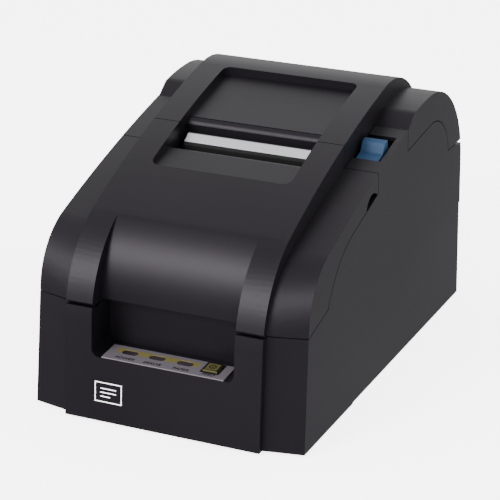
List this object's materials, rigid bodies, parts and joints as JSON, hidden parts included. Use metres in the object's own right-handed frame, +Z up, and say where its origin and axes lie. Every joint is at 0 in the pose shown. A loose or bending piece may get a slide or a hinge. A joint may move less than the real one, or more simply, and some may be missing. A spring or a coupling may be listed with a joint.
{
  "type": "receipt printer",
  "caption": "Desktop impact receipt printer with hinged covers, tear bar, front control panel, release lever, print carriage, geared paper feed and rear sockets.",
  "frame": {"origin": "centre of the bounding box, on the surface that the feet stand on", "axes": "+Z up, -Y the front with the control panel, +X the side with the release lever"},
  "size_m": [0.16, 0.25, 0.1534],
  "materials": {
    "case": "fine textured charcoal moulding",
    "lever": "light blue moulding",
    "label": "satin printed label",
    "lens": "smoked light pipe",
    "button": "olive moulding",
    "bright_steel": "bright stamped strip",
    "steel": "plain steel",
    "alloy": "cast alloy",
    "motor": "dark painted can",
    "roller": "ground rubber",
    "gear": "natural acetal",
    "brass": "machined",
    "inner": "plain black moulding",
    "belt": "toothed belt",
    "cassette": "black moulding",
    "knob": "grey moulding",
    "base": "zinc plated, painted",
    "feet": "soft rubber",
    "board": "green circuit board",
    "port": "connector moulding",
    "switch": "moulded bezel",
    "rocker": "moulded rocker"
  },
  "bodies": {
    "body": {"housing": "case", "panel_label": "label", "led_lenses": "lens", "panel_board": "board", "lever_bracket": "inner", "lever_pin": "steel", "tear_bar": "bright_steel", "paper_guide": "inner", "side_plate_left": "steel", "side_plate_right": "steel", "idler_stud": "steel", "feed_motor": "motor", "platen_bar": "steel", "guide_shaft": "steel", "carriage_rail": "steel", "drive_belt": "belt", "carriage_motor": "motor", "idler_post": "inner", "ribbon_cassette": "cassette", "mechanism_bridge": "steel", "roll_bucket": "inner", "chassis_plate": "base", "rubber_feet": "feet", "base_screws": "steel", "main_board": "board", "board_posts": "inner", "interface_port": "port", "drawer_port": "port", "power_inlet": "port", "switch_body": "switch"},
    "front_cover": {"front_cover": "case", "front_hinge_pins": "steel"},
    "rear_cover": {"rear_cover": "case", "rear_hinge_pins": "steel"},
    "feed_button": {"feed_button": "button"},
    "release_lever": {"release_lever": "lever"},
    "power_switch": {"switch_rocker": "rocker"},
    "feed_roller": {"feed_roller": "roller", "roller_shaft": "steel", "roller_gear": "gear"},
    "idler": {"idler_gear": "gear"},
    "pinion": {"motor_pinion": "brass"},
    "carriage": {"carriage": "inner", "print_head": "alloy"},
    "drive_pulley": {"drive_pulley": "gear"},
    "idler_pulley": {"idler_pulley": "gear"},
    "ribbon_knob": {"ribbon_knob": "knob"}
  },
  "joints": [
    {"name": "front_cover_hinge", "type": "hinge", "parent": "body", "child": "front_cover", "pos_m": [0, -0.11486, 0.06925], "axis": [1, 0, 0], "range_deg": [0, 95]},
    {"name": "rear_cover_hinge", "type": "hinge", "parent": "body", "child": "rear_cover", "pos_m": [0, 0.12045, 0.10375], "axis": [-1, 0, 0], "range_deg": [0, 95]},
    {"name": "feed_button_press", "type": "slide", "parent": "body", "child": "feed_button", "axis": [0, 0.0662, -0.9978], "range_m": [0, 0.001], "stiffness_N_per_m": 400, "springref_m": -0.001},
    {"name": "release_lever_press", "type": "hinge", "parent": "body", "child": "release_lever", "pos_m": [0.0663, 0.0018, 0.118], "axis": [-1, 0, 0], "range_deg": [0, 12], "stiffness_Nm_per_rad": 0.05, "springref_deg": -11.46},
    {"name": "power_switch_rock", "type": "hinge", "parent": "body", "child": "power_switch", "pos_m": [-0.07503, -0.0767, 0.0315], "axis": [0, 0, 1], "range_deg": [-8, 8]},
    {"name": "roller_spin", "type": "hinge", "parent": "body", "child": "feed_roller", "pos_m": [0, 0.0023, 0.107], "axis": [1, 0, 0], "continuous": true},
    {"name": "idler_spin", "type": "hinge", "parent": "body", "child": "idler", "pos_m": [0, -0.00006, 0.08], "axis": [1, 0, 0], "continuous": true},
    {"name": "pinion_spin", "type": "hinge", "parent": "body", "child": "pinion", "pos_m": [0, -0.003, 0.05911], "axis": [1, 0, 0], "continuous": true},
    {"name": "carriage_slide", "type": "slide", "parent": "body", "child": "carriage", "axis": [1, 0, 0], "range_m": [-0.03, 0.03]},
    {"name": "drive_pulley_spin", "type": "hinge", "parent": "body", "child": "drive_pulley", "pos_m": [0.04, -0.0607, 0.0515], "axis": [0, 0, 1], "continuous": true},
    {"name": "idler_pulley_spin", "type": "hinge", "parent": "body", "child": "idler_pulley", "pos_m": [-0.04, -0.0607, 0.0515], "axis": [0, 0, 1], "continuous": true},
    {"name": "ribbon_knob_turn", "type": "hinge", "parent": "body", "child": "ribbon_knob", "pos_m": [-0.031, -0.0517, 0.1], "axis": [0, 0, 1], "continuous": true}
  ],
  "couplings": [
    {"joint": "idler_spin", "follows": "roller_spin", "ratio": -0.8},
    {"joint": "pinion_spin", "follows": "roller_spin", "ratio": 2},
    {"joint": "drive_pulley_spin", "follows": "carriage_slide", "rad_per_m": -149.25},
    {"joint": "idler_pulley_spin", "follows": "carriage_slide", "rad_per_m": -149.25}
  ]
}
